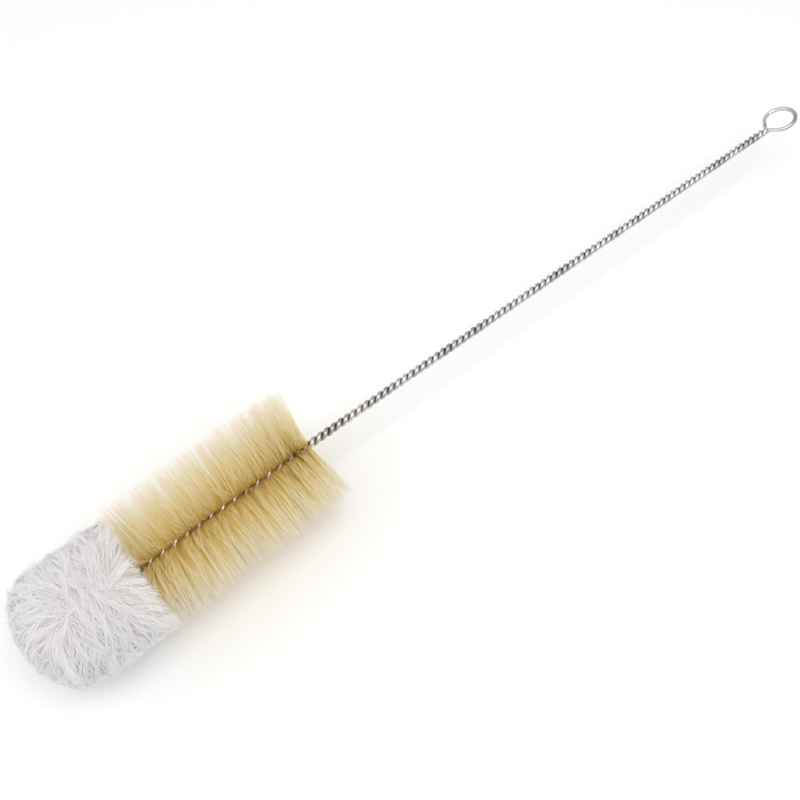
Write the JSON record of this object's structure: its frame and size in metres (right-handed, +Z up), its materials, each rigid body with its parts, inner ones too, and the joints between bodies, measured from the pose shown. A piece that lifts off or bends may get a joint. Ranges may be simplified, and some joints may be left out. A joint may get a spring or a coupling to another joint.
{
  "type": "bottle brush",
  "caption": "Long twisted-wire bottle brush with a wire ring to hang it by, a spiral of natural bristles and a white fibre tuft over the tip, for washing lab glassware.",
  "frame": {"origin": "middle of the brush's outline, on the table that its head lies on", "axes": "+X along the handle from the tuft to the ring, +Z up from the table"},
  "size_m": [0.4742, 0.0624, 0.0592],
  "materials": {
    "steel_wire": "satin",
    "natural_bristle": "matte",
    "white_fibre": "matte"
  },
  "bodies": {
    "root": {"twisted_wire": "steel_wire", "bristle_fill": "natural_bristle", "fibre_tuft": "white_fibre"}
  },
  "joints": []
}
